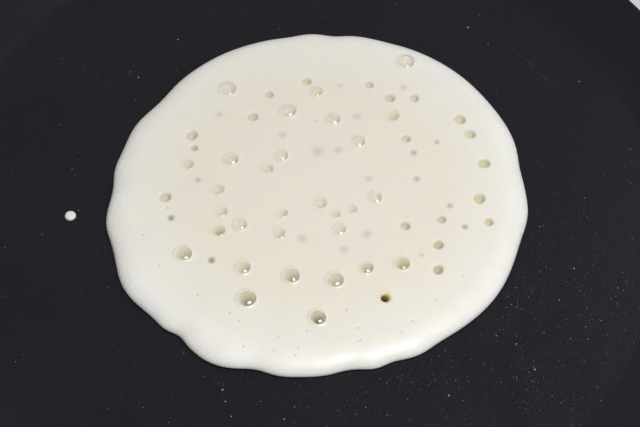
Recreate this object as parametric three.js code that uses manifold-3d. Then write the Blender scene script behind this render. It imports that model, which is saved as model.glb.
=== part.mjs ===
// A round pancake, its top still wet and bubbling, in the shallow pan that it cooks in.
// Millimetres, +Z up. The origin is the centre of the pan's flat underside, and the handle points along +X.

import * as THREE from "three";
import { mergeVertices } from "three/addons/utils/BufferGeometryUtils.js";
import Module from "manifold-3d";

const wasm = await Module();
wasm.setup();

const DEGREE = Math.PI / 180;

// Pan: a flat floor, a round corner and a low flared wall that thins towards a round lip.
const FLOOR_RADIUS = 117;
const FLOOR_THICKNESS = 4;
const CORNER_RADIUS = 16;
const WALL_LEAN = 52 * DEGREE; // outwards from upright
const LIP_RADIUS = 1.25;
const PAN_HEIGHT = 16;
const PAN_SIDES = 72;
const PAN_CURVE_STEPS = 4;

// Handle: a short metal ferrule against the wall, then an oval grip, both rising from the pan.
const HANDLE_RISE = 12 * DEGREE;
const HANDLE_ROOT = new THREE.Vector3(126, 0, 7.5);
const HANDLE_WIDTH = 1.35; // width over height of every section
const HANDLE_SIDES = 28;
const FERRULE_LENGTH = 38;
const FERRULE_ROOT_RADIUS = 4.4;
const FERRULE_END_RADIUS = 8.4;
const FERRULE_FLARE = 4; // from its wide end back to the bend of its flare
const FERRULE_CURVE_STEPS = 4;
const GRIP_LENGTH = 148;
const GRIP_NECK_RADIUS = 8.8;
const GRIP_NECK_ROUND = 1.5; // along the grip
const GRIP_NECK_FACE = 1; // from the round to the edge of its flat face
const GRIP_PALM_RADIUS = 10.4;
const GRIP_TAIL_RADIUS = 8.4;
const GRIP_TAIL_ROUND = 8;
const GRIP_CURVE_STEPS = 5;
const JOIN_GAP = 0.3;

// Pancake: batter poured to a nearly round pool, with a low swollen edge.
const PANCAKE_CENTRE = new THREE.Vector3(2.5, 1, FLOOR_THICKNESS);
const PANCAKE_RADIUS = 69.6;
const PANCAKE_THICKNESS = 5;
const EDGE_WIDTH = 8.5;
const EDGE_BULGE_HEIGHT = 0.9;
const EDGE_UNDERCUT = 0.7;
const ROUND_SHARE = 0.6; // of the radius, inside which the lobes don't reach
const PANCAKE_SIDES = 120;
const BATTER_CURVE_STEPS = 3;
const OVAL_REACH = 1.35;
const OVAL_ANGLE = 51.5;

// Lobes and notches where the batter ran further or less far: angle, reach and half-width in degrees.
const EDGE_LOBES = [
  { angle: 8, reach: -0.6, width: 5 },
  { angle: 20, reach: 0.6, width: 9 },
  { angle: 48, reach: 0.6, width: 18 },
  { angle: 69, reach: -0.3, width: 5 },
  { angle: 85, reach: -0.9, width: 4 },
  { angle: 93, reach: 0.3, width: 4 },
  { angle: 99, reach: -0.3, width: 4 },
  { angle: 120, reach: 0.8, width: 14 },
  { angle: 145, reach: -1.0, width: 7 },
  { angle: 157, reach: 0.6, width: 6 },
  { angle: 172, reach: 0.4, width: 4 },
  { angle: 180, reach: -0.6, width: 5 },
  { angle: 191, reach: 1.2, width: 6 },
  { angle: 212, reach: 2.2, width: 9 },
  { angle: 228, reach: 0.6, width: 4 },
  { angle: 232, reach: -1.0, width: 3 },
  { angle: 243, reach: 2.2, width: 8 },
  { angle: 254, reach: -0.8, width: 4 },
  { angle: 261, reach: 0.4, width: 5 },
  { angle: 278, reach: -1.2, width: 5 },
  { angle: 285, reach: 0.4, width: 3 },
  { angle: 290, reach: -0.3, width: 3 },
  { angle: 297, reach: 0.9, width: 5 },
  { angle: 323, reach: 2.0, width: 17 },
  { angle: 352, reach: 1.2, width: 7 },
];

// Bubbles still under their film, as domes: across, up and diameter, from the pancake's centre.
const FILM_BUBBLES = [
  [31.4, 53.7, 6], [-31.2, 41.2, 5.7], [-0.2, 40.1, 4.1], [-10, 31.3, 5.4], [5.5, 27.6, 4.8],
  [14, 18, 4.5], [-12, 12, 4.4], [-29, 10.3, 4.8], [19.2, -5.4, 4.3], [-25.1, -16.2, 4.5],
  [7.3, -18.2, 4.1], [-43, -27.6, 5.4], [27.2, -31.6, 4.8], [-23.6, -33, 4.8], [15.8, -33.1, 4.3],
  [-8.2, -36, 5.4], [5.7, -37.6, 5.5], [-22.2, -44.5, 6], [0.2, -51.4, 5.2],
];
const FILM_RISE = 0.5; // height over radius of a dome
const FILM_SINK = 0.15;

// Bubbles whose film has hardly risen, in the same way.
const LOW_BUBBLES = [
  [26, 29.5, 4.8], [-43.5, 8.5, 4], [-16.8, 6.7, 4.2], [-33, -2, 4.4], [1, -7.5, 4.6], [11.5, -10, 3.2],
  [-31.5, -11, 4.2], [6, -12, 3.4], [-11.5, -11.5, 3.8], [-32.2, -18.6, 4.4], [-12.5, -19.5, 4.2],
];
const LOW_FILM_RISE = 0.25;

// Bubbles that have burst and left a pit, in the same way.
const BURST_BUBBLES = [
  [-4, 45, 3.4], [18, 43.5, 3], [-17, 39, 3], [25, 37.5, 3.7], [33.5, 37.5, 3.5],
  [-22.5, 29, 3.7], [49, 28, 4], [52, 21.5, 4], [-43, 21, 4], [30, 19.5, 3.3],
  [-42, 15.5, 2.6], [56, 9, 4], [-50.5, -5, 4], [53.5, -5.5, 4], [40.5, -14, 3],
  [56, -15, 3], [28.5, -16.5, 3.3], [39, -24, 3.4], [38.5, -33.5, 3.5],
];
const PIT_DEPTH = 0.75; // depth over diameter
const PIT_SINK = 0.1;
const OPEN_HOLE = { x: 21.4, y: -44.2, diameter: 3.6, depth: 4.2 };
const BUBBLE_SIDES = 10;
const BUBBLE_RINGS = 6;

// A drop of batter that fell beside the pancake.
const DROP = { x: -82, y: -9.5, radius: 1.9, footRadius: 1.6, height: 1.3, brimHeight: 0.4 };

const batter = new THREE.MeshStandardMaterial({ color: 0xe4deca, roughness: 0.4, metalness: 0 });
const coating = new THREE.MeshStandardMaterial({ color: 0x25242a, roughness: 0.45, metalness: 0 });
const steel = new THREE.MeshStandardMaterial({ color: 0xb9babd, roughness: 0.3, metalness: 1 });
const resin = new THREE.MeshStandardMaterial({ color: 0x1b1b1d, roughness: 0.55, metalness: 0 });

// A round shape with every corner kept once, so that its faces share their edges.
function sewn(geometry) {
  geometry.deleteAttribute("normal");
  geometry.deleteAttribute("uv");
  return mergeVertices(geometry, 1e-4);
}

// A closed geometry as a solid that can be joined and cut.
function solidOf(geometry) {
  return new wasm.Manifold(
    new wasm.Mesh({
      numProp: 3,
      vertProperties: geometry.attributes.position.array,
      triVerts: new Uint32Array(geometry.index.array),
    }),
  );
}

function geometryOf(solid) {
  const { vertProperties, triVerts } = solid.getMesh();
  const geometry = new THREE.BufferGeometry();
  geometry.setAttribute("position", new THREE.BufferAttribute(vertProperties, 3));
  geometry.setIndex(new THREE.BufferAttribute(triVerts, 1));
  return geometry;
}

function piece(name, geometry, material) {
  geometry.computeVertexNormals();
  const mesh = new THREE.Mesh(geometry, material);
  mesh.name = name;
  return mesh;
}

// A solid of revolution about Z from a half section whose points are (radius, height).
function turned(section, sides) {
  return sewn(new THREE.LatheGeometry(section, sides)).rotateX(90 * DEGREE);
}

// The outside of the pan's half section, from under its middle to the top of the lip, grown by a clearance.
function panOutside(clearance) {
  const cornerHeight = FLOOR_THICKNESS + CORNER_RADIUS;
  const wallRun = (PAN_HEIGHT - LIP_RADIUS - cornerHeight) * Math.tan(WALL_LEAN);
  const lip = new THREE.Vector2(
    FLOOR_RADIUS + (CORNER_RADIUS + LIP_RADIUS) / Math.cos(WALL_LEAN) + wallRun,
    PAN_HEIGHT - LIP_RADIUS,
  );
  const path = new THREE.Path();
  path.moveTo(0, -clearance).lineTo(FLOOR_RADIUS, -clearance);
  path.absarc(FLOOR_RADIUS, cornerHeight, cornerHeight + clearance, -90 * DEGREE, -WALL_LEAN, false);
  path.absarc(lip.x, lip.y, LIP_RADIUS + clearance, -WALL_LEAN, 180 * DEGREE - WALL_LEAN, false);
  return path;
}

function panBody() {
  const section = panOutside(0);
  const cornerHeight = FLOOR_THICKNESS + CORNER_RADIUS;
  section.absarc(FLOOR_RADIUS, cornerHeight, CORNER_RADIUS, -WALL_LEAN, -90 * DEGREE, true);
  section.lineTo(0, FLOOR_THICKNESS);
  return turned(section.getPoints(PAN_CURVE_STEPS), PAN_SIDES);
}

// An oval turned piece of the handle, laid along X from where it starts.
function handleSection(section, start) {
  const geometry = sewn(new THREE.LatheGeometry(section, HANDLE_SIDES));
  return geometry.rotateZ(-90 * DEGREE).scale(1, HANDLE_WIDTH, 1).translate(start, 0, 0);
}

// The ferrule tapers out to the grip and is cut to the slope of the pan's wall.
function handleFerrule(handle) {
  const section = new THREE.Path()
    .moveTo(0, 0)
    .lineTo(FERRULE_ROOT_RADIUS, 0)
    .lineTo(FERRULE_ROOT_RADIUS, FERRULE_LENGTH / 2)
    .quadraticCurveTo(
      FERRULE_ROOT_RADIUS, FERRULE_LENGTH - FERRULE_FLARE,
      FERRULE_END_RADIUS, FERRULE_LENGTH,
    )
    .lineTo(0, FERRULE_LENGTH);
  const ferrule = solidOf(handleSection(section.getPoints(FERRULE_CURVE_STEPS), 0));
  const wall = turned(panOutside(JOIN_GAP).lineTo(0, PAN_HEIGHT).getPoints(PAN_CURVE_STEPS), PAN_SIDES);
  handle.updateMatrix();
  wall.applyMatrix4(handle.matrix.clone().invert());
  return geometryOf(ferrule.subtract(solidOf(wall)));
}

// The grip swells in the palm and ends in a round tail.
function handleGrip() {
  const section = new THREE.Path()
    .moveTo(0, 0)
    .lineTo(GRIP_NECK_RADIUS - GRIP_NECK_FACE, 0)
    .quadraticCurveTo(GRIP_NECK_RADIUS, 0, GRIP_NECK_RADIUS, GRIP_NECK_ROUND)
    .bezierCurveTo(
      GRIP_NECK_RADIUS, GRIP_LENGTH * 0.3,
      GRIP_PALM_RADIUS, GRIP_LENGTH * 0.35,
      GRIP_PALM_RADIUS, GRIP_LENGTH * 0.6,
    )
    .bezierCurveTo(
      GRIP_PALM_RADIUS, GRIP_LENGTH * 0.8,
      GRIP_TAIL_RADIUS, GRIP_LENGTH * 0.85,
      GRIP_TAIL_RADIUS, GRIP_LENGTH - GRIP_TAIL_ROUND,
    )
    .quadraticCurveTo(GRIP_TAIL_RADIUS, GRIP_LENGTH, 0, GRIP_LENGTH);
  return handleSection(section.getPoints(GRIP_CURVE_STEPS), FERRULE_LENGTH + JOIN_GAP);
}

function handleGroup() {
  const handle = new THREE.Group();
  handle.position.copy(HANDLE_ROOT);
  handle.rotation.y = -HANDLE_RISE;
  handle.add(piece("handle_ferrule", handleFerrule(handle), steel));
  handle.add(piece("handle_grip", handleGrip(), resin));
  return handle;
}

// How far the batter ran at an angle, past its even radius: an oval with lobes and notches on it.
function edgeReach(angle) {
  let reach = OVAL_REACH * Math.cos(2 * (angle - OVAL_ANGLE) * DEGREE);
  for (const lobe of EDGE_LOBES) {
    const away = THREE.MathUtils.euclideanModulo(angle - lobe.angle + 180, 360) - 180;
    reach += lobe.reach * Math.exp(-((away / lobe.width) ** 2));
  }
  return reach;
}

// The pool of batter before it bubbles: a round pool, its edge then drawn out to the lobes.
function pancakePool() {
  const section = new THREE.Path();
  const bulge = EDGE_BULGE_HEIGHT;
  section.moveTo(0, 0).lineTo(PANCAKE_RADIUS - EDGE_UNDERCUT, 0);
  section.absellipse(PANCAKE_RADIUS - EDGE_UNDERCUT, bulge, EDGE_UNDERCUT, bulge, -90 * DEGREE, 0);
  section.absellipse(
    PANCAKE_RADIUS - EDGE_WIDTH, bulge, EDGE_WIDTH, PANCAKE_THICKNESS - bulge, 0, 90 * DEGREE,
  );
  for (const share of [0.8, ROUND_SHARE, 0]) section.lineTo(PANCAKE_RADIUS * share, PANCAKE_THICKNESS);
  const pool = turned(section.getPoints(BATTER_CURVE_STEPS), PANCAKE_SIDES);
  const position = pool.getAttribute("position");
  for (let i = 0; i < position.count; i++) {
    const x = position.getX(i);
    const y = position.getY(i);
    const radius = Math.hypot(x, y);
    if (radius === 0) continue;
    const share = THREE.MathUtils.smoothstep(
      radius, PANCAKE_RADIUS * ROUND_SHARE, PANCAKE_RADIUS - EDGE_UNDERCUT,
    );
    const stretch = 1 + (share * edgeReach(Math.atan2(y, x) / DEGREE)) / radius;
    position.setXY(i, x * stretch, y * stretch);
  }
  return pool;
}

// A flattened ball with its middle at the batter's surface, less a sink: a dome to add or a pit to cut.
function bubble(x, y, radius, halfHeight, sink) {
  const ball = sewn(new THREE.SphereGeometry(radius, BUBBLE_SIDES, BUBBLE_RINGS)).rotateX(90 * DEGREE);
  ball.scale(1, 1, halfHeight / radius).translate(x, y, PANCAKE_THICKNESS - sink);
  return solidOf(ball);
}

function pancake() {
  let body = solidOf(pancakePool());
  for (const [bubbles, rise] of [[FILM_BUBBLES, FILM_RISE], [LOW_BUBBLES, LOW_FILM_RISE]]) {
    for (const [x, y, diameter] of bubbles) {
      body = body.add(bubble(x, y, diameter / 2, (rise * diameter) / 2 + FILM_SINK, FILM_SINK));
    }
  }
  for (const [x, y, diameter] of BURST_BUBBLES) {
    body = body.subtract(bubble(x, y, diameter / 2, PIT_DEPTH * diameter, PIT_SINK));
  }
  const hole = bubble(OPEN_HOLE.x, OPEN_HOLE.y, OPEN_HOLE.diameter / 2, OPEN_HOLE.depth, PIT_SINK);
  return geometryOf(body.subtract(hole));
}

function batterDrop() {
  const section = new THREE.Path();
  section.moveTo(0, 0).lineTo(DROP.footRadius, 0);
  section.absellipse(0, DROP.brimHeight, DROP.radius, DROP.height - DROP.brimHeight, 0, 90 * DEGREE);
  return turned(section.getPoints(BATTER_CURVE_STEPS), BUBBLE_SIDES);
}

const pan = new THREE.Group();
pan.add(piece("pan_body", panBody(), coating), handleGroup());

const food = new THREE.Group();
food.position.copy(PANCAKE_CENTRE);
const drop = piece("batter_drop", batterDrop(), batter);
drop.position.set(DROP.x, DROP.y, 0);
food.add(piece("pancake", pancake(), batter), drop);

const part = new THREE.Group();
part.add(pan, food);

export default part;
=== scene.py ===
# A round pancake with a wet, bubbling top, in the shallow pan that it cooks in.
# Metres, +Z up. The handle points along +X, and the camera looks down along +Y.

import math
import random

import bmesh
import bpy
from mathutils import Matrix, Vector, geometry, kdtree, noise


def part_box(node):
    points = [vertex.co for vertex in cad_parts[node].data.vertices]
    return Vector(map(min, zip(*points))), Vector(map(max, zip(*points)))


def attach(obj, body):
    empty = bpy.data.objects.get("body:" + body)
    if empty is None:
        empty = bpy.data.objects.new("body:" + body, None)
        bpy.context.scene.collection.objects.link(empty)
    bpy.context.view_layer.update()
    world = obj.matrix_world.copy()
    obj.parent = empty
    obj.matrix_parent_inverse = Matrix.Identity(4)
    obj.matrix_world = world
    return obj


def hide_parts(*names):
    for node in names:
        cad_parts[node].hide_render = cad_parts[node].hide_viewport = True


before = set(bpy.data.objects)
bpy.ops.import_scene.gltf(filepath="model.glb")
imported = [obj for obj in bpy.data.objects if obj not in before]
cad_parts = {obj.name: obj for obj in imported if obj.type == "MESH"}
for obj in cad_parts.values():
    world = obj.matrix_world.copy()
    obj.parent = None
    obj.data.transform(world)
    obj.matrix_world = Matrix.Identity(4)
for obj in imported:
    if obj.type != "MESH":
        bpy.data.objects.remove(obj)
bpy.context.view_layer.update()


# Pan body
# A disc of aluminium pressed to a flat floor, a round corner and a low flared wall. The inside has a black
# non-stick coating, the lip's edge is machined bare, the outside is dark enamel and the base is turned flat.
MM = 0.001
floor_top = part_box("pancake")[0].z
pan_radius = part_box("pan_body")[1].y
pan_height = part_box("pan_body")[1].z
WALL_LEAN = math.radians(52)
LIP_RADIUS = 1.25 * MM
LIP_ROUNDING = 0.75 * LIP_RADIUS
CORNER_RADIUS = 16 * MM
WALL_TAPER = 2.4 * MM
BASE_EDGE = 12 * MM  # from the floor's crease to the flat of the base
FLOOR_EDGE = 9 * MM  # from the floor's crease to the flat of the floor
FLOOR_BAND = 20 * MM
PAN_SIDES = 144
ROUNDING_STEPS = 8


def turned(corners, sides):
    """A shape spun about Z from corners given as radius, height and length of the rounding on each side."""
    mesh = bmesh.new()
    points = [mesh.verts.new((radius, 0, height)) for radius, height, rounding in corners]
    for start, end in zip(points, points[1:]):
        mesh.edges.new((start, end))
    for point, (radius, height, rounding) in zip(points, corners):
        if rounding:
            bmesh.ops.bevel(
                mesh, geom=[point], affect="VERTICES", offset=rounding,
                segments=ROUNDING_STEPS, profile=0.5, material=-1,
            )
    bmesh.ops.spin(
        mesh, geom=mesh.verts[:] + mesh.edges[:], cent=(0, 0, 0), axis=(0, 0, 1), angle=math.tau,
        steps=sides, use_merge=True,
    )
    bmesh.ops.remove_doubles(mesh, verts=mesh.verts[:], dist=1e-7)
    bmesh.ops.recalc_face_normals(mesh, faces=mesh.faces[:])
    return mesh


def finished(mesh, name, *finishes):
    """The object made from a bmesh, smooth all over, with its finishes in order."""
    data = bpy.data.meshes.new(name)
    for face in mesh.faces:
        face.smooth = True
    mesh.to_mesh(data)
    mesh.free()
    for finish in finishes:
        data.materials.append(finish)
    piece = bpy.data.objects.new(name, data)
    bpy.context.scene.collection.objects.link(piece)
    return piece


def new_finish(name):
    """A material, its nodes, its links and its shader."""
    finish = bpy.data.materials.new(name)
    finish.use_nodes = True
    nodes = finish.node_tree.nodes
    return finish, nodes, finish.node_tree.links.new, nodes["Principled BSDF"]


def texture(nodes, link, kind, scale, **inputs):
    """A texture node on the piece's own coordinates, in features per metre."""
    place = nodes.new("ShaderNodeTexCoord")
    made = nodes.new(kind)
    link(place.outputs["Object"], made.inputs["Vector"])
    made.inputs["Scale"].default_value = scale
    for name, value in inputs.items():
        made.inputs[name].default_value = value
    return made


def ramp(nodes, link, source, *stops):
    """A colour ramp on a value, with stops given as (position, colour or grey)."""
    made = nodes.new("ShaderNodeValToRGB")
    link(source, made.inputs["Fac"])
    elements = made.color_ramp.elements
    while len(elements) < len(stops):
        elements.new(0.5)
    for element, (position, colour) in zip(elements, stops):
        element.position = position
        element.color = (*colour, 1) if isinstance(colour, tuple) else (colour, colour, colour, 1)
    return made.outputs["Color"]


def mix(nodes, link, share, first, second):
    """Two colours mixed by a share, each a colour or another node's output."""
    made = nodes.new("ShaderNodeMix")
    made.data_type = "RGBA"
    share_socket, first_socket, second_socket = made.inputs[0], made.inputs[6], made.inputs[7]
    for socket, value in ((share_socket, share), (first_socket, first), (second_socket, second)):
        if isinstance(value, tuple):
            socket.default_value = (*value, 1)
        else:
            link(value, socket)
    return made.outputs[2]


def bump(nodes, link, shader, height, depth):
    """Relief too fine for the mesh, from a height value and a depth in metres."""
    made = nodes.new("ShaderNodeBump")
    made.inputs["Distance"].default_value = depth
    link(height, made.inputs["Height"])
    link(made.outputs["Normal"], shader.inputs["Normal"])


def coating_finish():
    """Black non-stick coating: fine grain, pale flecks and smears of oil that change its sheen."""
    finish, nodes, link, shader = new_finish("pan_coating")
    smears = texture(nodes, link, "ShaderNodeTexNoise", 28, Detail=4, Roughness=0.6)
    ground = ramp(
        nodes, link, smears.outputs["Fac"],
        (0.3, (0.0078, 0.0076, 0.0116)), (0.7, (0.0096, 0.0092, 0.0136)),
    )
    cells = texture(nodes, link, "ShaderNodeTexVoronoi", 1300)
    near = ramp(nodes, link, cells.outputs["Distance"], (0.08, 1.0), (0.3, 0.0))
    drawn = ramp(nodes, link, cells.outputs["Color"], (0.6, 0.0), (0.75, 1.0))
    share = mix(nodes, link, near, (0.0, 0.0, 0.0), drawn)
    colour = mix(nodes, link, share, ground, (0.038, 0.038, 0.045))
    link(colour, shader.inputs["Base Color"])
    sheen = ramp(nodes, link, smears.outputs["Fac"], (0.3, 0.24), (0.7, 0.32))
    link(sheen, shader.inputs["Roughness"])
    shader.inputs["IOR"].default_value = 1.35
    grain = texture(nodes, link, "ShaderNodeTexNoise", 1400, Detail=3)
    bump(nodes, link, shader, grain.outputs["Fac"], 0.02 * MM)
    return finish


def bare_metal_finish(name, roughness, lines):
    """Turned aluminium with fine rings from the tool."""
    finish, nodes, link, shader = new_finish(name)
    shader.inputs["Metallic"].default_value = 1
    shader.inputs["Roughness"].default_value = roughness
    cloud = texture(nodes, link, "ShaderNodeTexNoise", 60, Detail=4)
    colour = ramp(nodes, link, cloud.outputs["Fac"], (0.3, (0.62, 0.62, 0.63)), (0.7, (0.74, 0.74, 0.75)))
    link(colour, shader.inputs["Base Color"])
    rings = texture(nodes, link, "ShaderNodeTexWave", lines, Distortion=0.4)
    rings.wave_type = "RINGS"
    rings.rings_direction = "Z"
    bump(nodes, link, shader, rings.outputs["Fac"], 0.02 * MM)
    return finish


def enamel_finish():
    """Dark enamel on the outside, with the slight waviness of a sprayed coat."""
    finish, nodes, link, shader = new_finish("pan_enamel")
    cloud = texture(nodes, link, "ShaderNodeTexNoise", 40, Detail=5)
    colour = ramp(
        nodes, link, cloud.outputs["Fac"],
        (0.3, (0.014, 0.014, 0.015)), (0.7, (0.02, 0.02, 0.022)),
    )
    link(colour, shader.inputs["Base Color"])
    sheen = ramp(nodes, link, cloud.outputs["Fac"], (0.3, 0.3), (0.7, 0.4))
    link(sheen, shader.inputs["Roughness"])
    peel = texture(nodes, link, "ShaderNodeTexNoise", 500, Detail=2)
    bump(nodes, link, shader, peel.outputs["Fac"], 0.03 * MM)
    return finish


wall_out = Vector((math.cos(WALL_LEAN), -math.sin(WALL_LEAN)))
wall_up = Vector((math.sin(WALL_LEAN), math.cos(WALL_LEAN)))
lip = Vector((pan_radius - LIP_RADIUS, pan_height - LIP_RADIUS))
lip_outer = lip + LIP_RADIUS * (wall_up + wall_out)
lip_inner = lip + LIP_RADIUS * (wall_up - wall_out)
crease = lip_inner + wall_up * ((floor_top - lip_inner.y) / wall_up.y)
corner_run = math.tan((math.pi / 2 - WALL_LEAN) / 2)
pan_mesh = turned(
    [
        (0, 0, 0),
        (crease.x * 0.5, 0, 0),
        (crease.x - BASE_EDGE, 0, 0),
        (crease.x + WALL_TAPER, 0, (CORNER_RADIUS + floor_top) * corner_run),
        (*lip_outer, LIP_ROUNDING),
        (*lip_inner, LIP_ROUNDING),
        (*crease, CORNER_RADIUS * corner_run),
        (crease.x - FLOOR_EDGE, floor_top, 0),
        (crease.x - FLOOR_BAND, floor_top, 0),
        (crease.x * 0.5, floor_top, 0),
        (0, floor_top, 0),
    ],
    PAN_SIDES,
)
INSIDE, LIP_EDGE, OUTSIDE, BASE = range(4)
for face in pan_mesh.faces:
    middle = face.calc_center_median()
    outwards = middle.xy.normalized() @ face.normal.xy if middle.xy.length > MM else 0
    facing = Vector((outwards, face.normal.z))
    looks_along_wall = facing @ wall_up > 0.97
    looks_up = facing.y > 0.5 and facing.x < 0.3
    looks_out = facing @ wall_out > -0.3 and not looks_up
    looks_down = facing.y < -0.999
    if middle.z > pan_height - 2 * LIP_RADIUS and looks_along_wall:
        face.material_index = LIP_EDGE
    elif looks_out:
        face.material_index = BASE if looks_down else OUTSIDE
    else:
        face.material_index = INSIDE
pan_shell = finished(
    pan_mesh,
    "pan_shell",
    coating_finish(),
    bare_metal_finish("pan_lip_metal", 0.3, 900),
    enamel_finish(),
    bare_metal_finish("pan_base_metal", 0.4, 420),
)
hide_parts("pan_body")
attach(pan_shell, "root")


# Handle collar
# A short steel collar that tapers out from the wall to the grip. It is welded on, so its inner end
# is cut to the slope of the wall and sits just inside it.
HANDLE_RISE = math.radians(12)
HANDLE_ROOT = Vector((126, 0, 7.5)) * MM
HANDLE_WIDTH = 1.35  # width over height of every section
HANDLE_SIDES = 64
COLLAR_LENGTH = 38 * MM
COLLAR_ROOT_RADIUS = 4.4 * MM
COLLAR_END_RADIUS = 8.4 * MM
COLLAR_BAND = 4 * MM
WELD_DEPTH = 1.2 * MM
handle_way = Matrix.Rotation(-HANDLE_RISE, 4, "Y") @ Matrix.Rotation(math.pi / 2, 4, "Y")
handle_place = Matrix.Translation(HANDLE_ROOT) @ handle_way @ Matrix.Diagonal((1, HANDLE_WIDTH, 1, 1))


def brushed_steel_finish():
    """Satin steel, brushed along the handle."""
    finish, nodes, link, shader = new_finish("collar_steel")
    shader.inputs["Metallic"].default_value = 1
    cloud = texture(nodes, link, "ShaderNodeTexNoise", 80, Detail=4)
    colour = ramp(nodes, link, cloud.outputs["Fac"], (0.3, (0.5, 0.5, 0.51)), (0.7, (0.6, 0.6, 0.61)))
    link(colour, shader.inputs["Base Color"])
    lines = nodes.new("ShaderNodeTexNoise")
    stretch = nodes.new("ShaderNodeMapping")
    stretch.inputs["Scale"].default_value = (60, 3000, 3000)
    place = nodes.new("ShaderNodeTexCoord")
    link(place.outputs["Object"], stretch.inputs["Vector"])
    link(stretch.outputs["Vector"], lines.inputs["Vector"])
    lines.inputs["Scale"].default_value = 1
    sheen = ramp(nodes, link, lines.outputs["Fac"], (0.3, 0.26), (0.7, 0.4))
    link(sheen, shader.inputs["Roughness"])
    bump(nodes, link, shader, lines.outputs["Fac"], 0.01 * MM)
    return finish


collar_mesh = turned(
    [
        (0, 0, 0),
        (COLLAR_ROOT_RADIUS, 0, 0),
        (COLLAR_ROOT_RADIUS, COLLAR_LENGTH * 0.6, 9 * MM),
        (COLLAR_END_RADIUS, COLLAR_LENGTH - COLLAR_BAND, 3 * MM),
        (COLLAR_END_RADIUS, COLLAR_LENGTH, 0.5 * MM),
        (0, COLLAR_LENGTH, 0),
    ],
    HANDLE_SIDES,
)
bmesh.ops.transform(collar_mesh, matrix=handle_place, verts=collar_mesh.verts[:])
wall_foot = Vector((crease.x + WALL_TAPER, 0, 0))
wall_head = Vector((lip_outer.x, 0, lip_outer.y))
wall_slope = (wall_head - wall_foot).normalized()
wall_normal = Vector((wall_slope.z, 0, -wall_slope.x))
bmesh.ops.bisect_plane(
    collar_mesh,
    geom=collar_mesh.verts[:] + collar_mesh.edges[:] + collar_mesh.faces[:],
    plane_co=wall_foot - wall_normal * WELD_DEPTH,
    plane_no=wall_normal,
    clear_inner=True,
)
bmesh.ops.holes_fill(collar_mesh, edges=[edge for edge in collar_mesh.edges if edge.is_boundary])
handle_collar = finished(collar_mesh, "handle_collar", brushed_steel_finish())
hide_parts("handle_ferrule")
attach(handle_collar, "root")


# Handle grip
# A moulded grip of black heat-proof resin on the tang behind the collar. It is oval, swells in the palm
# and ends in a round tail.
JOIN_GAP = 0.3 * MM
GRIP_LENGTH = 148 * MM
GRIP_NECK_RADIUS = 8.8 * MM
GRIP_NECK_ROUNDING = 1 * MM
GRIP_PALM_RADIUS = 10.4 * MM
GRIP_TAIL_RADIUS = 8.4 * MM
GRIP_TAIL_ROUNDING = 7.8 * MM


def resin_finish():
    """Matt black resin with a fine moulded grain."""
    finish, nodes, link, shader = new_finish("grip_resin")
    cloud = texture(nodes, link, "ShaderNodeTexNoise", 50, Detail=4)
    colour = ramp(
        nodes, link, cloud.outputs["Fac"],
        (0.3, (0.012, 0.012, 0.0125)), (0.7, (0.017, 0.017, 0.018)),
    )
    link(colour, shader.inputs["Base Color"])
    sheen = ramp(nodes, link, cloud.outputs["Fac"], (0.3, 0.42), (0.7, 0.55))
    link(sheen, shader.inputs["Roughness"])
    grain = texture(nodes, link, "ShaderNodeTexNoise", 1600, Detail=2)
    bump(nodes, link, shader, grain.outputs["Fac"], 0.05 * MM)
    return finish


grip_start = COLLAR_LENGTH + JOIN_GAP
grip_mesh = turned(
    [
        (0, grip_start, 0),
        (GRIP_NECK_RADIUS, grip_start, GRIP_NECK_ROUNDING),
        (GRIP_NECK_RADIUS, grip_start + GRIP_LENGTH * 0.24, 0.16 * GRIP_LENGTH),
        (GRIP_PALM_RADIUS, grip_start + GRIP_LENGTH * 0.5, 0.14 * GRIP_LENGTH),
        (GRIP_PALM_RADIUS, grip_start + GRIP_LENGTH * 0.7, 0.09 * GRIP_LENGTH),
        (GRIP_TAIL_RADIUS, grip_start + GRIP_LENGTH * 0.88, 0.07 * GRIP_LENGTH),
        (GRIP_TAIL_RADIUS, grip_start + GRIP_LENGTH, GRIP_TAIL_ROUNDING),
        (0, grip_start + GRIP_LENGTH, 0),
    ],
    HANDLE_SIDES,
)
bmesh.ops.transform(grip_mesh, matrix=handle_place, verts=grip_mesh.verts[:])
grip_moulding = finished(grip_mesh, "grip_moulding", resin_finish())
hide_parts("handle_grip")
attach(grip_moulding, "root")


# Pancake
# Batter poured to a nearly round pool. Its underside has set and its top is still wet, with cells of steam
# that stand under films, have burst to pits or lie below the surface. The edge is smooth and swollen.
PANCAKE_CENTRE = Vector((2.5, 1, 0)) * MM + Vector((0, 0, floor_top))

# The batter's own sizes are in millimetres, and its mesh is scaled to metres when it is finished.
PANCAKE_RADIUS = 69.6
PANCAKE_THICKNESS = 5.0
EDGE_WIDTH = 8.5
EDGE_BULGE_HEIGHT = 0.9
EDGE_UNDERCUT = 0.7
OVAL_REACH = 1.35
OVAL_ANGLE = 51.5
TOP_DIVISIONS = 200
TOP_INSET = 3.0
EDGE_STEPS = 9

# Unevenness of the top: height, width and layer of the noise.
TOP_WAVES = [(0.12, 15, 4.2), (0.05, 5, 1.7)]

# Lobes and notches of the edge: angle, reach and half-width, with both angles in degrees.
EDGE_LOBES = [
    (8, -0.6, 5), (20, 0.6, 9), (48, 0.6, 18), (69, -0.3, 5), (85, -0.9, 4), (93, 0.3, 4),
    (99, -0.3, 4), (120, 0.8, 14), (145, -1.0, 7), (157, 0.6, 6), (172, 0.4, 4), (180, -0.6, 5),
    (191, 1.2, 6), (212, 2.2, 9), (228, 0.6, 4), (232, -1.0, 3), (243, 2.2, 8), (254, -0.8, 4),
    (261, 0.4, 5), (278, -1.2, 5), (285, 0.4, 3), (290, -0.3, 3), (297, 0.9, 5), (323, 2.0, 17),
    (352, 1.2, 7),
]

# The way down from the edge's bulge to the pan: inset and height.
UNDERCUT_PATH = [(0.12, 0.45), (0.38, 0.14), (EDGE_UNDERCUT, 0.02)]

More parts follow.
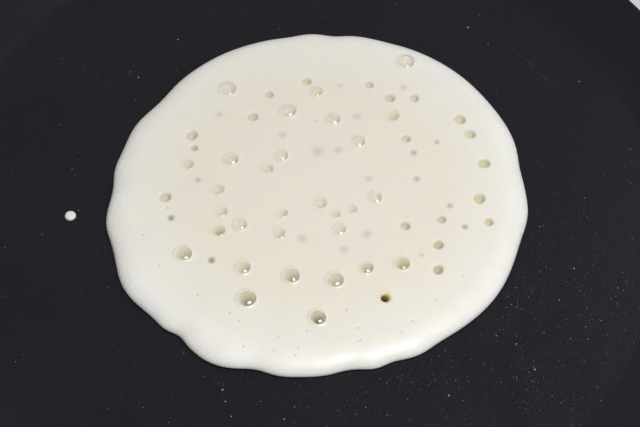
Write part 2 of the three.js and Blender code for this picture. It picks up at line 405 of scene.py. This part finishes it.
# Values that the cells carry on their points, for the batter's colour and sheen. The olive in the hollows is
# painted shade, and the dark deep in them is partly browned batter and partly painted shade.
LAYERS = ("cavity", "brown_and_shade", "sunk", "toast_and_glow", "wet")
BUBBLE_SIDES = 28
MOST_STRETCH = 0.07
CELL_CLEARANCE = 0.75
INSIDE_OF_SEAMS = 1  # the way of filling that keeps what the seams close in
SEAM_TOLERANCE = 1e-6

# Bubbles that stand under a film: across, up, diameter and ripeness from 0 to 1.
FILM_UNIT_RADIUS = 2.3
FILM_FOOT = 0.4
FILLET_WIDTH = 1.25
FILLET_STEPS = 6
BOWL_STEPS = 10
LEAST_UNDER_FILM = 0.8
FILM_TOAST = 0.3
FILM_BUBBLES = [
    (31.4, 53.7, 6, 0), (-31.2, 41.2, 5.7, 0), (-0.2, 40.1, 4.1, 0), (-10, 31.3, 5.4, 0),
    (5.5, 27.6, 4.8, 0), (14, 18, 4.5, 0), (-12, 12, 4.4, 0), (-29, 10.3, 4.8, 0.2),
    (19.2, -5.4, 4.3, 0), (-25.1, -16.2, 4.5, 0.1), (7.3, -18.2, 4.1, 0.1), (-43, -27.6, 5.4, 0.55),
    (27.2, -31.6, 4.8, 0.65), (-23.6, -33, 4.8, 0.5), (15.8, -33.1, 4.3, 0.65), (-8.2, -36, 5.4, 0.7),
    (5.7, -37.6, 5.5, 0.55), (-22.2, -44.5, 6, 0.9), (0.2, -51.4, 5.2, 1),
]

# Bubbles whose film has hardly risen, in the same way.
LOW_SWELL = 0.4
LOW_BUBBLES = [
    (26, 29.5, 4.8, 0.2), (-43.5, 8.5, 4, 0.1), (-16.8, 6.7, 4.2, 0), (-33, -2, 4.4, 0.1),
    (1, -7.5, 4.6, 0), (11.5, -10, 3.2, 0.1), (-31.5, -11, 4.2, 0.1), (6, -12, 3.4, 0.1),
    (-11.5, -11.5, 3.8, 0.2), (-32.2, -18.6, 4.4, 0.6), (-12.5, -19.5, 4.2, 0.2),
]

# Bubbles that have burst to a pit: across, up and diameter.
BURST_UNIT_RADIUS = 1.8
SMALL_BURST = 2.8
BURST_DEPTH, SMALL_BURST_DEPTH = 0.6, 0.9  # over the diameter
BURST_TOAST = 0.25
# A pit darkens at its bottom, partly browned batter and partly painted shade.
BURST_BROWN_AND_SHADE, RIPE_BROWN_AND_SHADE = 0.08, 0.37  # when raw, and what ripeness adds
BURST_BUBBLES = [
    (-4, 45, 3.4), (18, 43.5, 3), (-17, 39, 3), (25, 37.5, 3.7), (33.5, 37.5, 3.5), (-22.5, 29, 3.7),
    (49, 28, 4), (52, 21.5, 4), (-43, 21, 4), (30, 19.5, 3.3), (-42, 15.5, 2.6), (56, 9, 4),
    (-50.5, -5, 4), (53.5, -5.5, 4), (40.5, -14, 3), (56, -15, 3), (28.5, -16.5, 3.3), (39, -24, 3.4),
    (38.5, -33.5, 3.5),
]

# Burst bubbles that are closing again: across, up, diameter and darkness from 0 to 1, which is painted shade.
CLOSING_DEPTH = 0.25
CLOSING_MARGIN = 0.3
CLOSING_BUBBLES = [
    (40.5, 18, 2, 0.1), (32.5, 13.5, 2.6, 0.16), (33, 2.5, 2.6, 0.12), (-40, 2, 2.2, 0.08),
    (43.5, -8.5, 2.4, 0.12), (-48, -13.5, 2.4, 0.5), (48, -17, 2.2, 0.3), (-34, -30, 2.6, 0.55),
]

# The one hole that has set open: across, up and diameter, then how far its throat leans.
OPEN_HOLE = (21.4, -44.2, 3.6)
HOLE_LEAN = 0.35
HOLE_LIP = 0.6
LEAST_UNDER_HOLE = 0.7

# Cells just below the surface, and fine pores: across, up and diameter.
SUNK_SPREAD, PORE_SPREAD = 0.65, 0.6  # the dimple's radius over the diameter
SUNK_DEPTH = 0.05
PORE_DEPTH = 0.25  # over the diameter
SUNK_GREY, PORE_GREY = 0.75, 0.8
PORE_DARK = 0.06
SUNK_BUBBLES = [
    (8, 43, 2), (30, 42, 2.6), (-34, 30, 2.6), (13.5, 29, 3), (-0.5, 27.2, 1.4), (-12, 21, 3.2),
    (7, 14.5, 3.2), (0, 14, 4.4), (17, 2.5, 2.8), (16, -20, 3.2), (-5, -21.5, 3.4), (8.5, -26, 3),
    (33.5, -28, 1.8),
]
PORES = [
    (-49.6, -9.4, 0.9), (-51, -32, 0.8), (9, -48.5, 0.8), (-27.5, -49.5, 0.9), (-24.5, -52.5, 0.9),
    (29.5, -52.5, 0.9), (26, -56.5, 0.8), (13, -59.5, 0.8), (-3.5, -56, 0.7), (-6, -62, 0.8),
    (12.5, -55, 0.8), (37, -45, 0.8), (-38, -43, 0.7), (-57, -20, 0.7), (46, -36, 0.7),
    (-12, -58, 0.7), (-7, -64.5, 0.7), (-13.5, -63, 0.7), (-23, -61.5, 0.7),
]


def edge_radius(angle):
    """How far the batter ran from its centre, at an angle in degrees."""
    reach = PANCAKE_RADIUS + OVAL_REACH * math.cos(2 * math.radians(angle - OVAL_ANGLE))
    for lobe_angle, lobe_reach, lobe_width in EDGE_LOBES:
        away = (angle - lobe_angle + 180) % 360 - 180
        reach += lobe_reach * math.exp(-((away / lobe_width) ** 2))
    return reach


def top_height(x, y):
    """The height of the batter's top: level, a little uneven, and rounded down at its edge."""
    from_edge = edge_radius(math.degrees(math.atan2(y, x))) - math.hypot(x, y)
    wave = sum(height * noise.noise((x / width, y / width, layer)) for height, width, layer in TOP_WAVES)
    level = PANCAKE_THICKNESS + wave
    if from_edge >= EDGE_WIDTH:
        return level
    rise = math.sqrt(1 - (1 - max(from_edge, 0) / EDGE_WIDTH) ** 2)
    return EDGE_BULGE_HEIGHT + (level - EDGE_BULGE_HEIGHT) * rise


def bubble(x, y, section, oval, lean=0):
    """A bubble's section, spun. Each of its points has a radius, a height and a value for each layer."""
    turn, stretch = oval
    mesh = bmesh.new()
    layers = [mesh.verts.layers.float.new(name) for name in LAYERS]
    points = []
    for radius, height, *values in section:
        point = mesh.verts.new((radius, 0, height))
        for layer, value in zip(layers, values):
            point[layer] = value
        points.append(point)
    edges = [mesh.edges.new(pair) for pair in zip(points, points[1:])]
    bmesh.ops.spin(
        mesh, geom=points + edges, cent=(0, 0, 0), axis=(0, 0, 1), angle=math.tau,
        steps=BUBBLE_SIDES, use_merge=True,
    )
    bmesh.ops.remove_doubles(mesh, verts=mesh.verts[:], dist=1e-5)
    place = Matrix.Translation((x, y, 0)) @ Matrix.Rotation(turn, 4, "Z")
    place @= Matrix.Diagonal((1 + stretch, 1 - stretch, 1, 1))
    bmesh.ops.transform(mesh, matrix=place, verts=mesh.verts[:])
    for vert in mesh.verts:
        vert.co.x += lean * vert.co.z
    data = bpy.data.meshes.new("bubble")
    mesh.to_mesh(data)
    mesh.free()
    return data


def progress(value, start, end):
    """How far a value has come on its way from a start to an end, from 0 to 1."""
    return min(max((value - start) / (end - start), 0), 1)


def ripeness(y):
    """How far a cell has cooked, from 0 to 1: those in front are over the hottest part of the pan."""
    return progress(-y, 10, 50)


def golden(x, y):
    """How far a cell has begun to turn golden, from 0 to 1: those in front on the right are the most golden.
    """
    return progress(x - 0.8 * y, 35, 55)


def film_foot(radius, swell):
    """How high a film's edge stands above the batter around it."""
    return swell * FILM_FOOT * radius / FILM_UNIT_RADIUS


def film_cell(radius, ripe, toast_and_glow, swell):
    """The cell under a film: a wet fillet up to the film's edge, then a bowl tinted olive as painted shade,
    whose bottom darkens as it ripens, partly browned batter and partly painted shade.
    """
    unit = radius / FILM_UNIT_RADIUS
    foot = film_foot(radius, swell)
    depth = min((0.45 + 0.6 * ripe) * radius, PANCAKE_THICKNESS - LEAST_UNDER_FILM)
    olive = 0.45 + 0.5 * ripe
    grey = 0.25 * (1 - ripe)
    section = []
    for step in range(FILLET_STEPS + 1):
        climbed = step / FILLET_STEPS
        outwards = radius + FILLET_WIDTH * unit * (1 - climbed)
        wet = math.sin(math.pi * climbed ** 1.5)
        section.append((outwards, foot * climbed ** 2, 0.4 * olive * climbed ** 4, 0, 0, 0, wet))
    for step in range(1, BOWL_STEPS + 1):
        share = 1 - step / BOWL_STEPS
        sunken = 1 - share ** 2
        inside = 1 - 0.6 * share ** 6
        # The bowl's olive tint is painted shade, and its dark bottom is partly browned batter and partly
        # painted shade.
        tints = olive * inside, ripe ** 1.3 * sunken ** 3, grey * inside, toast_and_glow * inside
        section.append((radius * share, foot - (foot + depth) * sunken, *tints))
    return section


def burst_cell(radius, depth, brown_and_shade, toast_and_glow):
    """An open pit with a soft rim, tinted olive as painted shade and darker at the bottom, partly browned
    batter and partly painted shade.
    """
    unit = min(radius / BURST_UNIT_RADIUS, 1)
    return [
        (radius + 0.75 * unit, 0),
        (radius + 0.42 * unit, -0.03 * unit, 0.1),
        (radius + 0.15 * unit, -0.12 * unit, 0.32, 0, 0, 0.3 * toast_and_glow),
        (radius - 0.1 * unit, -0.3 * unit, 0.6, 0.1 * brown_and_shade, 0, 0.6 * toast_and_glow),
        (radius * 0.83, -0.58 * depth, 0.9, 0.4 * brown_and_shade, 0, toast_and_glow),
        (radius * 0.6, -0.86 * depth, 1, 0.8 * brown_and_shade, 0, toast_and_glow),
        (radius * 0.3, -depth, 1, brown_and_shade, 0, toast_and_glow),
        (0, -depth, 1, brown_and_shade, 0, toast_and_glow),
    ]


def open_cell(radius, depth):
    """A hole that has set open: a swollen lip, then a funnel tinted warm, partly toasted batter and partly a
    painted glow, to a throat at the browned underside whose dark is partly painted shade.
    """
    return [
        (radius + 1.9, 0),
        (radius + 1.4, 0.1, 0, 0, 0, 0.08),
        (radius + 0.95, 0.16, 0, 0, 0, 0.2),
        (radius + 0.6, 0.1, 0, 0, 0, 0.4),
        (radius + 0.3, -0.12, 0, 0.05, 0, 0.7),
        (radius + 0.08, -0.45, 0, 0.25, 0, 1),
        (radius * 0.95, -0.9, 0, 0.55, 0, 1),
        (radius * 0.85, -1.5, 0, 0.85, 0, 1),
        (radius * 0.7, -0.7 * depth, 0, 1, 0, 1),
        (radius * 0.5, -depth, 0, 1, 0, 1),
        (0, -depth, 0, 1, 0, 1),
    ]


def sunk_cell(radius, depth, grey, dark):
    """A grey dimple over a cell below the surface, darker with painted shade where a burst one has nearly
    closed again.
    """
    return [
        (radius + 0.5, 0),
        (radius, -0.1 * depth, 0, 0, 0.06 * grey),
        (radius * 0.75, -0.4 * depth, 0, 0.2 * dark, 0.3 * grey),
        (radius * 0.5, -0.75 * depth, 0, 0.6 * dark, 0.65 * grey),
        (radius * 0.25, -depth, 0, 0.9 * dark, 0.92 * grey),
        (0, -depth, 0, dark, grey),
    ]


def carried(nodes, layer):
    """The value that the mesh carries in one of its layers."""
    value = nodes.new("ShaderNodeAttribute")
    value.attribute_name = layer
    return value.outputs["Fac"]


def batter_finish():
    """Wet batter: creamy in the middle, whiter at its edge, with olive painted shade in the cells and a dark
    deep in them that is partly browned batter and partly painted shade.
    """
    finish, nodes, link, shader = new_finish("pancake_batter")
    place = nodes.new("ShaderNodeTexCoord")
    centre = nodes.new("ShaderNodeMapping")
    centre.inputs["Location"].default_value = (-PANCAKE_CENTRE.x, -PANCAKE_CENTRE.y, 0)
    link(place.outputs["Object"], centre.inputs["Vector"])
    per_radius = 1 / (PANCAKE_RADIUS * MM)
    flat = nodes.new("ShaderNodeVectorMath")
    flat.operation = "MULTIPLY"
    flat.inputs[1].default_value = (per_radius, per_radius, 0)
    link(centre.outputs["Vector"], flat.inputs[0])
    outwards = nodes.new("ShaderNodeVectorMath")
    outwards.operation = "LENGTH"
    link(flat.outputs["Vector"], outwards.inputs[0])
    cream = ramp(
        nodes, link, outwards.outputs["Value"],
        (0.0, (0.84, 0.79, 0.69)), (0.6, (0.84, 0.795, 0.68)),
        (0.88, (0.87, 0.845, 0.77)), (1.0, (0.93, 0.92, 0.87)),
    )
    cloud = texture(nodes, link, "ShaderNodeTexNoise", 70, Detail=3)
    tone = ramp(nodes, link, cloud.outputs["Fac"], (0.35, 0.0), (0.65, 0.3))
    colour = mix(nodes, link, tone, cream, (0.83, 0.78, 0.70))
    # The olive of the hollows is painted shade, varied a little at random.
    drift = texture(nodes, link, "ShaderNodeTexNoise", 45, Detail=1)
    hollow_shade_tone = ramp(
        nodes, link, drift.outputs["Fac"],
        (0.35, (0.70, 0.69, 0.525)), (0.65, (0.70, 0.655, 0.555)),
    )
    for layer, tint in (
        # painted shade in the hollows
        ("cavity", hollow_shade_tone),
        ("sunk", (0.645, 0.585, 0.56)),
        # a golden tint, and in the open hole partly a painted glow
        ("toast_and_glow", (0.69, 0.57, 0.26)),
        # partly browned batter, partly painted shade
        ("brown_and_shade", (0.17, 0.11, 0.035)),
    ):
        colour = mix(nodes, link, carried(nodes, layer), colour, tint)
    link(colour, shader.inputs["Base Color"])
    dull = ramp(nodes, link, carried(nodes, "cavity"), (0.0, 0.36), (0.3, 0.7))
    sheen = mix(nodes, link, carried(nodes, "wet"), dull, (0.08, 0.08, 0.08))
    link(sheen, shader.inputs["Roughness"])
    shader.inputs["Subsurface Weight"].default_value = 0.8
    shader.inputs["Subsurface Radius"].default_value = (1.0, 0.8, 0.45)
    shader.inputs["Subsurface Scale"].default_value = 0.7 * MM
    ripples = texture(nodes, link, "ShaderNodeTexNoise", 420, Detail=3)
    bump(nodes, link, shader, ripples.outputs["Fac"], 0.03 * MM)
    return finish


# The top starts as a square grid that is drawn round, out to the lobes.
chance = random.Random(7)
pool = bmesh.new()
for layer in LAYERS:
    pool.verts.layers.float.new(layer)
bmesh.ops.create_grid(pool, x_segments=TOP_DIVISIONS, y_segments=TOP_DIVISIONS, size=1)
for vert in pool.verts:
    u, v = vert.co.xy
    x, y = u * math.sqrt(1 - v * v / 2), v * math.sqrt(1 - u * u / 2)
    reach = edge_radius(math.degrees(math.atan2(y, x))) - TOP_INSET
    share = math.hypot(x, y) ** 2
    radius = reach * share + (PANCAKE_RADIUS - TOP_INSET) * (1 - share)
    vert.co = (x * radius, y * radius, 0)
rim = [edge for edge in pool.edges if edge.is_boundary]

# Each cell has its place and its section, and is a little oval.
cells = []
for bubbles, swell in ((FILM_BUBBLES, 1), (LOW_BUBBLES, LOW_SWELL)):
    for x, y, size, ripe in bubbles:
        cells.append((x, y, film_cell(size / 2, ripe, FILM_TOAST * golden(x, y), swell)))
for x, y, size in BURST_BUBBLES:
    depth = size * (BURST_DEPTH if size > SMALL_BURST else SMALL_BURST_DEPTH)
    # The darkening at the pit's bottom, partly browned batter and partly painted shade.
    brown_and_shade = BURST_BROWN_AND_SHADE + RIPE_BROWN_AND_SHADE * ripeness(y)
    cells.append((x, y, burst_cell(size / 2, depth, brown_and_shade, BURST_TOAST * golden(x, y))))
for x, y, size, dark in CLOSING_BUBBLES:
    cells.append((x, y, sunk_cell(size / 2 + CLOSING_MARGIN, CLOSING_DEPTH, 1, dark)))
hole_index = len(cells)
hole_x, hole_y, hole_size = OPEN_HOLE
cells.append((hole_x, hole_y, open_cell(hole_size / 2 - HOLE_LIP, PANCAKE_THICKNESS - LEAST_UNDER_HOLE)))
for x, y, size in SUNK_BUBBLES:
    cells.append((x, y, sunk_cell(SUNK_SPREAD * size, SUNK_DEPTH, SUNK_GREY, 0)))
for x, y, size in PORES:
    cells.append((x, y, sunk_cell(PORE_SPREAD * size, PORE_DEPTH * size, PORE_GREY, PORE_DARK)))
ovals = [(chance.uniform(0, math.pi), chance.uniform(0, MOST_STRETCH)) for cell in cells]

# The grid's faces over the cells come out, and new faces join the grid to the cells' mouths. Faces, edges and
# corners are kept in order, so that the mesh is the same each time.
faces = pool.faces[:]
tree = kdtree.KDTree(len(faces))
for index, face in enumerate(faces):
    tree.insert(face.calc_center_median(), index)
tree.balance()
mouths = {}
opened = {}
for index, ((x, y, section), oval) in enumerate(zip(cells, ovals)):
    before = len(pool.verts)
    data = bubble(x, y, section, oval, HOLE_LEAN if index == hole_index else 0)
    pool.from_mesh(data)
    bpy.data.meshes.remove(data)
    pool.verts.ensure_lookup_table()
    mouths.update({vert: index for vert in pool.verts[before:] if vert.is_boundary})
    reach = section[0][0] * (1 + oval[1]) + CELL_CLEARANCE
    opened.update(dict.fromkeys(faces[found[1]] for found in tree.find_range((x, y, 0), reach)))
around_openings = [edge for face in opened for edge in face.edges]
seams = [edge for edge in around_openings if sum(face in opened for face in edge.link_faces) == 1]
seams += dict.fromkeys(edge for vert in mouths for edge in vert.link_edges if edge.is_boundary)
bmesh.ops.delete(pool, geom=list(opened), context="FACES")
corners = list(dict.fromkeys(vert for edge in seams for vert in edge.verts))
number = {vert: index for index, vert in enumerate(corners)}
filled = geometry.delaunay_2d_cdt(
    [vert.co.xy for vert in corners], [[number[vert] for vert in edge.verts] for edge in seams], [],
    INSIDE_OF_SEAMS, SEAM_TOLERANCE,
)
triangles, sources = filled[2], filled[3]
for triangle in triangles:
    around = [corners[sources[corner][0]] for corner in triangle]
    over_mouth = len({mouths.get(vert, vert) for vert in around}) == 1
    over_face = any(set(around) <= set(face.verts) for face in around[0].link_faces)
    if not over_mouth and not over_face:
        pool.faces.new(around)
for vert in pool.verts:
    vert.co.z += top_height(vert.co.x, vert.co.y)

# The edge rolls out from the top to its bulge and back under, and the underside closes it.
edge_path = []
start = math.asin(1 - TOP_INSET / EDGE_WIDTH)
for step in range(1, EDGE_STEPS + 1):
    angle = start + (math.pi / 2 - start) * step / EDGE_STEPS
    height = EDGE_BULGE_HEIGHT + (PANCAKE_THICKNESS - EDGE_BULGE_HEIGHT) * math.cos(angle)
    edge_path.append((EDGE_WIDTH * (1 - math.sin(angle)), height))
for inset, height in edge_path + UNDERCUT_PATH:
    made = bmesh.ops.extrude_edge_only(pool, edges=rim)["geom"]
    moved = {part for part in made if isinstance(part, bmesh.types.BMVert)}
    rim = [part for part in made if isinstance(part, bmesh.types.BMEdge) and set(part.verts) <= moved]
    for vert in moved:
        angle = math.atan2(vert.co.y, vert.co.x)
        radius = edge_radius(math.degrees(angle)) - inset
        vert.co = (radius * math.cos(angle), radius * math.sin(angle), height)
bmesh.ops.edgeloop_fill(pool, edges=rim)
bmesh.ops.recalc_face_normals(pool, faces=pool.faces[:])
pancake_place = Matrix.Translation(PANCAKE_CENTRE) @ Matrix.Scale(MM, 4)
bmesh.ops.transform(pool, matrix=pancake_place, verts=pool.verts[:])
pancake_batter = finished(pool, "pancake_batter", batter_finish())
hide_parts("pancake")
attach(pancake_batter, "root")


# Bubble films
# The thin skins of wet batter that still close the cells. Each is a low dome that springs from the edge of
# its cell, clear enough to show the hollow under it. Some have hardly risen, and lie nearly flat.
FILM_SLOPES = (33, 40)  # degrees at the edge of a dome
LOW_FILM_SLOPE = 18
FILM_THICKNESS = 0.1
FILM_OVERLAP = 0.013  # over the radius, where the film's edge sinks into the batter
FILM_SINK = 0.8  # over the height of the film's edge
FILM_STEPS = 7


def film_finish():
    """A clear wet skin with a trace of batter in it."""
    finish, nodes, link, shader = new_finish("bubble_film")
    cloud = texture(nodes, link, "ShaderNodeTexNoise", 300, Detail=2)
    colour = ramp(nodes, link, cloud.outputs["Fac"], (0.3, (0.95, 0.94, 0.86)), (0.7, (0.99, 0.98, 0.94)))
    link(colour, shader.inputs["Base Color"])
    shader.inputs["Roughness"].default_value = 0.04
    shader.inputs["Transmission Weight"].default_value = 1
    shader.inputs["IOR"].default_value = 1.5
    return finish


films = bmesh.new()
domes = [(x, y, size, 1, chance.uniform(*FILM_SLOPES)) for x, y, size, ripe in FILM_BUBBLES]
domes += [(x, y, size, LOW_SWELL, LOW_FILM_SLOPE) for x, y, size, ripe in LOW_BUBBLES]
for (x, y, size, swell, slope_degrees), oval in zip(domes, ovals):
    radius = size / 2
    foot = film_foot(radius, swell)
    foot_slope = math.radians(slope_degrees)
    ball = radius / math.sin(foot_slope)
    section = [(radius + FILM_OVERLAP * radius, FILM_SINK * foot)]
    for step in range(FILM_STEPS + 1):
        slope = foot_slope * (1 - step / FILM_STEPS)
        section.append((ball * math.sin(slope), foot + ball * (math.cos(slope) - math.cos(foot_slope))))
    data = bubble(x, y, section, oval)
    films.from_mesh(data)
    bpy.data.meshes.remove(data)
for vert in films.verts:
    vert.co.z += top_height(vert.co.x, vert.co.y)
bmesh.ops.recalc_face_normals(films, faces=films.faces[:])
bmesh.ops.solidify(films, geom=films.faces[:], thickness=FILM_THICKNESS)
bmesh.ops.recalc_face_normals(films, faces=films.faces[:])
bmesh.ops.transform(films, matrix=pancake_place, verts=films.verts[:])
bubble_films = finished(films, "bubble_films", film_finish())

# The films are too thin to hold back the light that reaches the cells.
bubble_films.visible_shadow = False
bubble_films.visible_diffuse = False
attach(bubble_films, "root")


# Batter drop
# A drop of the same batter that fell from the ladle beside the pancake. It has set on the hot coating
# as a small white dome.
DROP_PLACE = Vector((-82, -9.5, 0)) * MM + PANCAKE_CENTRE
DROP_RADIUS = 1.9 * MM
DROP_HEIGHT = 1.3 * MM
DROP_GAP = 0.02 * MM
DROP_SIDES = 32


def drop_finish():
    """Set batter, paler than the pancake."""
    finish, nodes, link, shader = new_finish("drop_batter")
    cloud = texture(nodes, link, "ShaderNodeTexNoise", 600, Detail=2)
    colour = ramp(nodes, link, cloud.outputs["Fac"], (0.3, (0.78, 0.77, 0.75)), (0.7, (0.84, 0.83, 0.81)))
    link(colour, shader.inputs["Base Color"])
    shader.inputs["Roughness"].default_value = 0.3
    return finish


drop_mesh = turned(
    [
        (0, DROP_GAP, 0),
        (DROP_RADIUS * 0.9, DROP_GAP, 0),
        (DROP_RADIUS, DROP_HEIGHT * 0.25, 0.1 * MM),
        (DROP_RADIUS * 0.86, DROP_HEIGHT * 0.82, 0.4 * MM),
        (DROP_RADIUS * 0.4, DROP_HEIGHT, 0.4 * MM),
        (0, DROP_HEIGHT, 0),
    ],
    DROP_SIDES,
)
bmesh.ops.translate(drop_mesh, vec=DROP_PLACE, verts=drop_mesh.verts[:])
spilt_drop = finished(drop_mesh, "spilt_drop", drop_finish())
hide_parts("batter_drop")
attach(spilt_drop, "root")


# Spatter
# Fine drops of oil that spat from the edge, coloured pale as a painted glint. They stand on the coating as
# beads too small to see as more than points of light, most of them in front and on the right, with a smear
# where a turner slid.
BEAD_HEIGHT = 0.5  # over the radius
BEAD_GAP = 0.01 * MM

# Places from the pancake's centre and radii, in millimetres.
LARGE_SIZES = (0.3, 0.42)
LARGE_BEADS = [
    (-29, -74), (-28, -78), (-26, -83), (-10, -84), (40, -76), (67, -67), (77, -42), (83, -30),
    (71, -54), (56, -55), (62, -58), (55, 75), (93, 49), (-51, 69), (-64, 51),
]
SMEAR_BEADS = 60
SMEAR_SIZES = (0.06, 0.12)
SMEAR_DISTANCE = 95.5
SMEAR_WIDTH = 0.3
SMEAR_ANGLES = (31, 44)
ALL_BEADS = 2400
FINE_SIZES = (0.075, 0.23)
FINE_RARITY = 7  # how much rarer the larger of the fine beads are
FINE_DISTANCES = (72, 118)
EDGE_GAP = 1.5
LEAST_FAVOUR = 0.04


def spatter_favour(x, y):
    """How likely a fine drop is to land at a place, up to 1: most of them fell in front on the right."""
    rightwards = progress(x, -60, 90)
    forwards = progress(-y, -20, 80)
    return LEAST_FAVOUR + (1 - LEAST_FAVOUR) * rightwards ** 2 * forwards


def bead_finish():
    """Wet oil drops, coloured pale as a painted glint."""
    finish, nodes, link, shader = new_finish("spatter")
    cloud = texture(nodes, link, "ShaderNodeTexNoise", 90, Detail=2)
    # The pale colour is a painted glint on each drop.
    colour = ramp(nodes, link, cloud.outputs["Fac"], (0.35, (0.10, 0.10, 0.105)), (0.7, (0.36, 0.35, 0.35)))
    link(colour, shader.inputs["Base Color"])
    shader.inputs["Roughness"].default_value = 0.12
    return finish


beads = [(x, y, chance.uniform(*LARGE_SIZES)) for x, y in LARGE_BEADS]
for step in range(SMEAR_BEADS):
    angle = math.radians(chance.uniform(*SMEAR_ANGLES))
    across = SMEAR_DISTANCE * math.cos(angle) + chance.gauss(0, SMEAR_WIDTH)
    beads.append((across, SMEAR_DISTANCE * math.sin(angle), chance.uniform(*SMEAR_SIZES)))
finest, coarsest = FINE_SIZES
while len(beads) < ALL_BEADS:
    angle = chance.uniform(0, 360)
    distance = chance.uniform(*FINE_DISTANCES)
    x, y = distance * math.cos(math.radians(angle)), distance * math.sin(math.radians(angle))
    size = finest + (coarsest - finest) * chance.random() ** FINE_RARITY
    if distance > edge_radius(angle) + EDGE_GAP and chance.random() < spatter_favour(x, y):
        beads.append((x, y, size))
spatter_mesh = bmesh.new()
for x, y, size in beads:
    place = Matrix.Translation(PANCAKE_CENTRE + Vector((x, y, 0)) * MM)
    place @= Matrix.Diagonal((1, 1, BEAD_HEIGHT, 1))
    bmesh.ops.create_icosphere(spatter_mesh, subdivisions=1, radius=size * MM, matrix=place)
bmesh.ops.bisect_plane(
    spatter_mesh, geom=spatter_mesh.verts[:] + spatter_mesh.edges[:] + spatter_mesh.faces[:],
    plane_co=(0, 0, floor_top + BEAD_GAP), plane_no=(0, 0, 1), clear_inner=True,
)
bmesh.ops.holes_fill(spatter_mesh, edges=[edge for edge in spatter_mesh.edges if edge.is_boundary])
spatter = finished(spatter_mesh, "spatter", bead_finish())
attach(spatter, "root")


# Stage
# A plain pale floor in a dim grey room. A soft key light stands high in front on the right, with a weak one
# behind on the right and a broad one further back. The camera looks down at the pancake from in front.
FLOOR_REACH = 12
CAMERA_PLACE = PANCAKE_CENTRE + Vector((0.78, -275.2, 381.2)) * MM
CAMERA_TILT = math.radians(35)
FOCAL_LENGTH = 78.75
SENSOR_WIDTH = 36
stage_mesh = bmesh.new()
bmesh.ops.create_grid(stage_mesh, x_segments=1, y_segments=1, size=FLOOR_REACH)
pale, *_, pale_shader = new_finish("pale_floor")
pale_shader.inputs["Base Color"].default_value = (0.72, 0.71, 0.69, 1)
pale_shader.inputs["Roughness"].default_value = 0.7
stage_floor = finished(stage_mesh, "stage_floor", pale)


def soft_light(name, place, size, power):
    """A round soft light aimed at the pancake."""
    light = bpy.data.lights.new(name, "AREA")
    light.shape = "DISK"
    light.size = size
    light.energy = power
    lamp = bpy.data.objects.new(name, light)
    lamp.location = place
    lamp.rotation_euler = (PANCAKE_CENTRE - Vector(place)).to_track_quat("-Z", "Y").to_euler()
    lamp.visible_camera = False
    bpy.context.scene.collection.objects.link(lamp)
    return lamp


soft_light("key", (0.18, -0.25, 0.57), 0.33, 2.73)
soft_light("side", (0.5, 0.45, 0.7), 0.5, 0.22)
back = soft_light("back", (0.25, 0.9, 0.45), 0.8, 1.1)

# The broad light behind lifts the shade and isn't mirrored in the coating.
back.visible_glossy = False
room = bpy.data.worlds.new("room")
room.use_nodes = True
room_light = room.node_tree.nodes["Background"]
room_light.inputs["Color"].default_value = (0.35, 0.35, 0.36, 1)
room_light.inputs["Strength"].default_value = 1
bpy.context.scene.world = room
bpy.context.scene.view_settings.view_transform = "Standard"

lens = bpy.data.cameras.new("camera")
lens.lens = FOCAL_LENGTH
lens.sensor_width = SENSOR_WIDTH
lens.clip_start = 0.01
camera = bpy.data.objects.new("camera", lens)
camera.location = CAMERA_PLACE
camera.rotation_euler = (CAMERA_TILT, 0, 0)
bpy.context.scene.collection.objects.link(camera)
bpy.context.scene.camera = camera
